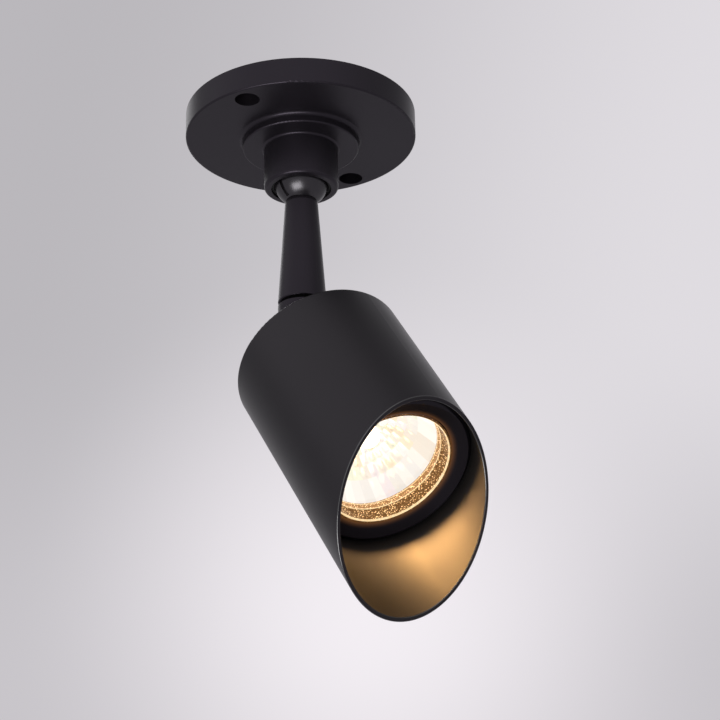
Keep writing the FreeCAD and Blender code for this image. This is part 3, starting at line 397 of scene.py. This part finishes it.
def rim_glow():
    """Ground glass edges of the lamp, which pipe its light."""
    material, tree, shader = finish_of("rim_edge_glow")
    ground = noise(tree, object_place(tree), 900.0, 2.0)
    glow = ramp(tree, ground, (0.3, (0.92, 0.60, 0.27)), (0.65, (1.0, 0.80, 0.49)))
    preset(shader, {"Base Color": (0.06, 0.04, 0.02, 1.0), "Roughness": 0.3, "Emission Strength": 1.0})
    wire(tree, (glow, shader.inputs["Emission Color"]))
    return material


def bowl_back():
    """Outside of the lamp's glass bowl, with its thin metallic film."""
    material, tree, shader = finish_of("bowl_back_film")
    film = noise(tree, object_place(tree), 120.0, 3.0)
    colour = ramp(tree, film, (0.3, (0.32, 0.24, 0.34)), (0.7, (0.52, 0.42, 0.36)))
    preset(shader, {"Metallic": 0.5})
    wire(tree, (colour, shader.inputs["Base Color"]),
         (span(tree, film, 0.3, 0.7, 0.12, 0.25), shader.inputs["Roughness"]))
    return material


def lit_burner():
    """The glowing quartz capsule."""
    material, tree, shader = finish_of("lit_burner_quartz")
    heat = noise(tree, object_place(tree), 260.0, 2.0)
    glow = ramp(tree, heat, (0.3, (1.0, 0.84, 0.60)), (0.7, (1.0, 0.92, 0.76)))
    preset(shader, {"Base Color": (0.9, 0.88, 0.84, 1.0), "Roughness": 0.1, "Emission Strength": 2.0})
    wire(tree, (glow, shader.inputs["Emission Color"]))
    return material


# Surfaces worked out as arrays

def round_mesh(name, rows_r, rows_s, count):
    """A profile carried round the head's axis. rows_r and rows_s hold, for each profile row and each of count
    angles, the radius from the axis and the distance along the beam; a point is
    pivot + s * beam + r * (cos(angle) * upper + sin(angle) * across). Rows on the axis close as poles. Seams
    and poles are merged and the faces turned outwards."""
    angle = np.arange(count) / count * 2.0 * math.pi
    ring = np.cos(angle)[:, None] * UPPER + np.sin(angle)[:, None] * ACROSS
    points = PIVOT + rows_s[..., None] * BEAM + rows_r[..., None] * ring[None, :, :]
    starts = np.arange(points.shape[0] - 1)[:, None] * count
    here = starts + np.arange(count)[None, :]
    right = starts + (np.arange(count)[None, :] + 1) % count
    quads = np.stack([here, right, right + count, here + count], axis=-1).reshape(-1, 4)
    mesh = bpy.data.meshes.new(name)
    mesh.from_pydata(points.reshape(-1, 3).tolist(), [], quads.tolist())
    work = bmesh.new()
    work.from_mesh(mesh)
    bmesh.ops.remove_doubles(work, verts=work.verts, dist=1e-7)
    bmesh.ops.recalc_face_normals(work, faces=work.faces)
    work.to_mesh(mesh)
    work.free()
    mesh.polygons.foreach_set("use_smooth", np.ones(len(mesh.polygons), dtype=bool))
    mesh.update()
    return mesh


def linked(name, data):
    """A new object in the scene."""
    piece = bpy.data.objects.new(name, data)
    scene.collection.objects.link(piece)
    return piece


def placed(mesh, body, slot, *materials):
    """The finished piece, riding on its body."""
    piece = linked(mesh.name, mesh)
    for material in materials:
        mesh.materials.append(material)
    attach(piece, body)
    return piece


def face_places(mesh):
    """Radius from the head's axis, distance along the beam and part of a turn, of each face's centre."""
    centres = np.empty(len(mesh.polygons) * 3)
    mesh.polygons.foreach_get("center", centres)
    offset = centres.reshape(-1, 3) - PIVOT
    along = offset @ BEAM
    turn = np.arctan2(offset @ ACROSS, offset @ UPPER) / (2.0 * math.pi) % 1.0
    return np.linalg.norm(offset - along[:, None] * BEAM, axis=1), along, turn


# Material slots of the lamp's bowl
FACETS, INNER_BAND, BRIGHT_EDGE, BACK, OUTER_BAND, OUTER_EDGE = range(6)

# Facets of the bowl
PETALS = 34                                    # facets round the bowl
FACET_STEPS = 6                                # mesh faces across a facet
FACET_RINGS = np.array([0.0, 0.09, 0.21, 0.38, 0.60, 1.0])  # the rings' bounds, as parts of the depth
FACET_RISES = np.array([0.26, 0.30, 0.34, 0.34, 0.26]) * MM
FACET_LEAN = 0.4                               # share of a facet's rise that goes along the beam
BOWL_CURVE = 0.62                              # power of the depth that the bowl's radius follows

# Bounds of the bowl's materials
LINING_R = 23.40 * MM                          # the facets lie within this radius
BAND_EDGE = 80.75 * MM                         # end of the collar's inner band
COLLAR_RIDGES = ((80.95 * MM, 0.22 * MM), (78.45 * MM, 0.18 * MM))  # place along the beam and half width
COLLAR_R = 24.20 * MM                          # outer radius of the collar's bands
RIM_LINE_R = 24.62 * MM                        # outer radius of the rim's bright line
RIM_START, RIM_FRONT = 86.5 * MM, 86.9 * MM    # where the bright line and the rim's outer edge start

# Radius and distance along the beam: the collar from the bowl to the rim, then the outside back to the axis.
COLLAR_PROFILE = np.array([
    (23.45, 77.9), (23.50, 78.25), (23.42, 78.35), (23.42, 78.55), (23.52, 78.65), (23.72, 80.70),
    (23.58, 80.82), (23.58, 81.08), (23.74, 81.20), (24.05, 84.0), (24.15, 86.5), (24.35, 86.9),
    (24.60, 87.25), (24.75, 87.35), (24.90, 87.4), (25.10, 87.3), (25.20, 87.0), (25.20, 77.7),
    (22.9, 70.2), (20.6, 64.6), (13.5, 53.9), (13.0, 53.4), (0.0, 53.4)]) * MM


def bowl_mesh():
    """Mirror bowl of the lamp. Inside, the radius grows with a power of the depth, and rings of pillow-shaped
    facets stand on it, the outer ones long, each ring shifted by half a facet:
    height = rise * (1 - u^2) * (1 - v^2), with u and v from -1 to 1 across a facet. Then come the two bands
    of the collar with fine ridges between them, the front rim, and the plain back of the bowl."""
    count = PETALS * FACET_STEPS
    start_r, end_r = 10.3 * MM, 23.3 * MM
    ring = np.repeat(np.arange(len(FACET_RISES)), FACET_STEPS)
    step = np.tile(np.arange(FACET_STEPS) / FACET_STEPS, len(FACET_RISES))
    t = np.append(FACET_RINGS[ring] + (FACET_RINGS[ring + 1] - FACET_RINGS[ring]) * step, 1.0)
    v = np.append(2.0 * step - 1.0, 1.0)
    ring = np.append(ring, len(FACET_RISES) - 1)
    inner_s = LAMP_FOOT + (BOWL_END - LAMP_FOOT) * t
    inner_r = start_r + (end_r - start_r) * t ** BOWL_CURVE
    turn = np.arange(count) / FACET_STEPS
    u = 2.0 * ((turn[None, :] + 0.5 * (ring[:, None] % 2)) % 1.0) - 1.0
    rise = FACET_RISES[ring][:, None] * (1.0 - u ** 2) * (1.0 - v[:, None] ** 2)
    facet_r = inner_r[:, None] - rise
    facet_s = inner_s[:, None] + FACET_LEAN * rise
    plain_r, plain_s = [np.repeat(column[:, None], count, axis=1) for column in COLLAR_PROFILE.T]
    return round_mesh("lamp_bowl", np.vstack([np.zeros((1, count)), facet_r, plain_r]),
                      np.vstack([np.full((1, count), LAMP_FOOT), facet_s, plain_s]), count)


def bowl_slots(radius, along):
    """Each face's material slot, from its place."""
    lining = (radius < LINING_R) & (along > LAMP_FOOT - 0.1 * MM) & (along < BOWL_END + 0.15 * MM)
    collar = ~lining & (radius < COLLAR_R) & (along > BOWL_END + 0.05 * MM)
    slots = np.full(len(radius), BACK, dtype=np.int32)
    slots[lining] = FACETS
    slots[collar & (along < BAND_EDGE)] = INNER_BAND
    slots[collar & (along > BAND_EDGE)] = OUTER_BAND
    slots[(along > RIM_FRONT) & (radius > RIM_LINE_R)] = OUTER_EDGE
    slots[(along > RIM_START) & (radius > COLLAR_R) & (radius < RIM_LINE_R)] = BRIGHT_EDGE
    for place, half in COLLAR_RIDGES:
        slots[collar & (np.abs(along - place) < half)] = BRIGHT_EDGE
    return slots


def facet_tints(along, turn):
    """Each face's glow colour. Faces of one facet share it: a tint picked by a number worked out from the
    facet's place, mostly white in the outer ring, and a brightness worked out in the same way."""
    depth = np.clip((along - LAMP_FOOT) / (BOWL_END - LAMP_FOOT), 0.0, 0.999)
    row = np.searchsorted(FACET_RINGS, depth, side="right") - 1
    cell = np.floor(turn * PETALS + 0.5 * (row % 2)) % PETALS + 97.0 * row
    chance = np.modf(np.abs(np.sin(cell * 12.9898) * 43758.5453))[0]
    shift = np.modf(np.abs(np.sin(cell * 78.233) * 12543.123))[0]
    tints = np.array([(1.0, 0.95, 0.89), (1.0, 0.96, 0.92), (1.0, 0.91, 0.80), (1.0, 0.90, 0.91),
                      (0.91, 0.92, 0.74), (1.0, 0.83, 0.62)])
    outer_shares, inner_shares = (0.40, 0.74, 0.84, 0.91, 0.97), (0.12, 0.26, 0.48, 0.62, 0.78)
    shares = np.where(row[:, None] == len(FACET_RISES) - 1, outer_shares, inner_shares)
    pick = np.sum(chance[:, None] > shares, axis=1)
    colours = np.ones((len(along), 4), dtype=np.float32)
    colours[:, :3] = tints[pick] * (0.80 + 0.14 * shift)[:, None]
    return colours


def lamp_bowl():
    """The lamp's bowl with its slots, glow and materials, in place of the CAD reflector."""
    mesh = bowl_mesh()
    radius, along, turn = face_places(mesh)
    mesh.polygons.foreach_set("material_index", bowl_slots(radius, along))
    glow = mesh.attributes.new("facet_glow", "FLOAT_COLOR", "FACE")
    glow.data.foreach_set("color", facet_tints(along, turn).reshape(-1))
    bands = {
        FACETS: lit_facets(),
        INNER_BAND: collar_speckle("collar_inner_band", (0.17, 0.078, 0.027), (0.36, 0.195, 0.083),
                                   (1.0, 0.75, 0.47)),
        BRIGHT_EDGE: rim_glow(),
        BACK: bowl_back(),
        OUTER_BAND: collar_speckle("collar_outer_band", (0.062, 0.026, 0.007), (0.200, 0.093, 0.029),
                                   (1.0, 0.70, 0.36)),
        OUTER_EDGE: collar_speckle("collar_outer_edge", (0.030, 0.012, 0.003), (0.060, 0.026, 0.008),
                                   (0.24, 0.12, 0.05))}
    piece = placed(mesh, "head", "reflector_glass", *[bands[slot] for slot in sorted(bands)])
    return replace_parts(piece, "lamp_reflector")


def lamp_capsule():
    """Quartz burner: a straight capsule whose end closes in a quarter ellipse with a small drawn tip on it.
    The ellipse is a little full: part of its radius follows the cosine's square root, the rest the cosine."""
    height, radius, count = 17.2 * MM, 4.4 * MM, 48
    dome_h, tip_h, fullness = 4.2 * MM, 0.8 * MM, 0.18
    dome_start = LAMP_FOOT + height - (dome_h + tip_h)
    sweep = np.linspace(0.0, 0.5 * math.pi, 12)
    dome_r = radius * ((1.0 - fullness) * np.cos(sweep) + fullness * np.cos(sweep) ** 0.5)
    dome_s = dome_start + dome_h * np.sin(sweep)
    tip_r = np.array([0.9, 0.7, 0.35, 0.0]) * MM
    tip_s = LAMP_FOOT + height - tip_h + np.array([0.0, 0.5, 0.75, 0.8]) * MM
    rows_r = np.concatenate([[0.0, radius * 0.9, radius, radius], dome_r[1:-2], tip_r])
    rows_s = np.concatenate([[LAMP_FOOT, LAMP_FOOT, LAMP_FOOT + 0.4 * MM, dome_start], dome_s[1:-2], tip_s])
    mesh = round_mesh("lamp_capsule", np.repeat(rows_r[:, None], count, axis=1),
                      np.repeat(rows_s[:, None], count, axis=1), count)
    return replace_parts(placed(mesh, "head", "burner_glass", lit_burner()), "lamp_burner")


def dress(material, *names):
    """The material on CAD nodes."""
    for name in names:
        for place in nodes[name].material_slots:
            place.material = material


dress(coated("black_powder_coat", (0.006, 0.011), (0.37, 0.10), 0.40, 0.16),
      "canopy", "arm", "fork", "hinge_lug")
dress(housing_coat(), "housing")
dress(coated("ball_black_lacquer", (0.006, 0.011), (0.29, 0.08), 0.85, 0.06, COAT_TINT, BALL_SHEEN), "ball")
dress(ring_coat_with_painted_glow(), "baffle_ring")
dress(coated("bush_black_nylon", (0.004, 0.008), (0.55, 0.12), 0.25, 0.20, PLAIN, PLAIN_SHEEN),
      "seat_bush", "pressure_cup", "friction_washers")
dress(coated("seam_washer_matt_black", (0.001, 0.003), (0.70, 0.12), 0.05, 0.20, PLAIN, PLAIN_SHEEN),
      "swivel_washer")
dress(metal("zinc_steel", (0.42, 0.42, 0.43), (0.62, 0.62, 0.63), 0.34, 0.22),
      "disc_springs", "terminal_screw", "guide_pin", "wave_washer", "pivot_screw", "pivot_nut", "lug_screws",
      "holder_bracket", "bracket_screws", "holder_screws", "lamp_pins")
dress(metal("plain_brass", (0.56, 0.40, 0.17), (0.74, 0.56, 0.27), 0.30, 0.22),
      "retaining_ring", "earth_screw", "swivel_stud")
dress(pale_solid("terminal_white_nylon", (0.66, 0.66, 0.63), (0.76, 0.76, 0.74), 0.5, 1800.0, 0.03 * MM),
      "terminal_block")
dress(pale_solid("fired_ceramic", (0.72, 0.69, 0.63), (0.82, 0.80, 0.75), 0.62, 2600.0, 0.05 * MM),
      "lampholder", "lamp_base")
dress(coated("grommet_black_rubber", (0.014, 0.024), (0.72, 0.14), 0.40, 0.35, PLAIN, PLAIN_SHEEN),
      "cable_grommet")
dress(front_glass(), "lamp_glass")
bowl = lamp_bowl()
capsule = lamp_capsule()
for see_through in (nodes["lamp_glass"], capsule):
    see_through.visible_shadow = False
nodes["lamp_glass"].visible_glossy = nodes["lamp_glass"].visible_diffuse = False


# Studio

EYE = (0.6092, -0.4925, -0.4430)
LOOK = Vector((-0.6987, 0.5990, 0.3911)).normalized()
RIGHT = Vector((0.6447, 0.7642, -0.0189))
RIGHT = (RIGHT - LOOK * RIGHT.dot(LOOK)).normalized()
ABOVE = RIGHT.cross(LOOK)


def camera():
    """The photo's view."""
    lens = bpy.data.cameras.new("photo_view")
    lens.lens = 107.5
    lens.sensor_width = 36.0
    lens.clip_start, lens.clip_end = 0.01, 100.0
    eye = linked("photo_view", lens)
    eye.matrix_world = Matrix.Translation(EYE) @ Matrix((RIGHT, ABOVE, -LOOK)).transposed().to_4x4()
    scene.camera = eye


def backdrop_world():
    """Grey studio round the spotlight: a pale backdrop ahead of the camera, lighter to the right and with a
    soft glow under the head, dim walls at the sides and a bright wall behind the camera."""
    world = bpy.data.worlds.new("pale_studio")
    scene.world = world
    world.use_nodes = True
    tree = world.node_tree
    background = tree.nodes["Background"]
    direction = tree.nodes.new("ShaderNodeTexCoord").outputs["Generated"]
    ahead = facing(tree, direction, LOOK)
    across = facing(tree, direction, RIGHT - 0.27 * ABOVE)
    height = facing(tree, direction, ABOVE)
    rightward = span(tree, across, -0.18, 0.15, smooth=True)
    upper = blend(tree, rightward, (0.492, 0.477, 0.502), (0.74, 0.715, 0.75))
    base = blend(tree, span(tree, height, 0.02, -0.15, smooth=True), upper, (0.580, 0.560, 0.590))
    glow_middle = (LOOK + 0.006 * RIGHT - 0.117 * ABOVE).normalized()
    from_glow = vector_maths(tree, "DISTANCE", direction, glow_middle)["Value"]
    near = span(tree, from_glow, 0.0, 0.175, 1.0, 0.0, smooth=True)
    backdrop = blend(tree, near, base, (0.90, 0.86, 0.90))
    walls = ramp(tree, span(tree, ahead, -1.0, 1.0), (0.0, (0.80, 0.79, 0.82)), (0.22, (0.70, 0.69, 0.72)),
                 (0.45, (0.36, 0.355, 0.37)), (0.75, (0.25, 0.245, 0.26)), (0.86, (0.31, 0.305, 0.32)),
                 (0.935, (0.50, 0.49, 0.51)))
    overhead = span(tree, facing(tree, direction, (-0.15, -0.64, 0.75)), 0.62, 0.97, smooth=True)
    room = blend(tree, overhead, walls, (0.64, 0.63, 0.66))
    in_view = span(tree, ahead, math.cos(math.radians(32.0)), math.cos(math.radians(14.0)), smooth=True)
    preset(background, {"Strength": 1.0})
    wire(tree, (blend(tree, in_view, room, backdrop), background.inputs["Color"]))


def floor():
    """Wide pale floor far below."""
    reach, level = 30.0, -1.6
    corners = [(-reach, -reach, level), (reach, -reach, level), (reach, reach, level), (-reach, reach, level)]
    mesh = bpy.data.meshes.new("studio_floor")
    mesh.from_pydata(corners, [], [(0, 1, 2, 3)])
    piece = linked("studio_floor", mesh)
    material, tree, shader = finish_of("pale_floor")
    clouds = noise(tree, object_place(tree), 3.0)
    colour = ramp(tree, clouds, (0.3, (0.69, 0.68, 0.70)), (0.7, (0.73, 0.72, 0.74)))
    preset(shader, {"Roughness": 0.9})
    wire(tree, (colour, shader.inputs["Base Color"]))
    mesh.materials.append(material)


def aimed(place, direction):
    """The matrix of a light at a place, facing in a direction."""
    turn = Vector(direction).to_track_quat("-Z", "Y")
    return Matrix.Translation(place) @ turn.to_matrix().to_4x4()


def soft_light(name, place, target, width, height, power):
    """A white softbox that faces a target and isn't seen itself."""
    lamp = bpy.data.lights.new(name, "AREA")
    lamp.shape = "RECTANGLE"
    lamp.size, lamp.size_y = width, height
    lamp.energy = power
    holder = linked(name, lamp)
    holder.visible_camera = False
    holder.matrix_world = aimed(place, Vector(target) - Vector(place))


def lamp_light():
    """The lamp's warm light: a small disk at the foot of the bowl, facing along the beam and carried by the
    head. The collar's front edge cuts it off from the baffle ring and the wall next to that. The bowl has a
    glow of its own, so this light leaves it out."""
    disk_r, disk_place = 13.0 * MM, 57.5 * MM
    lamp = bpy.data.lights.new("lamp_beam", "AREA")
    lamp.shape = "DISK"
    lamp.size = 2.0 * disk_r
    lamp.energy = 0.34
    lamp.color = (1.0, 0.548, 0.175)
    holder = linked("lamp_beam", lamp)
    holder.visible_camera = holder.visible_transmission = False
    holder.matrix_world = aimed(PIVOT + disk_place * BEAM, BEAM)
    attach(holder, "head")
    own_glow = bpy.data.collections.new("own_glow")
    own_glow.objects.link(bowl)
    own_glow.collection_objects[0].light_linking.link_state = "EXCLUDE"
    holder.light_linking.receiver_collection = own_glow


camera()
backdrop_world()
floor()
middle = (0.02, 0.0, -0.11)
soft_light("left_softbox", (-1.13, 0.22, 0.70), middle, 0.6, 0.6, 1.0)
soft_light("low_softbox", (0.35, -0.74, -0.92), middle, 0.80, 0.55, 8.0)
lamp_light()

bpy.context.view_layer.update()
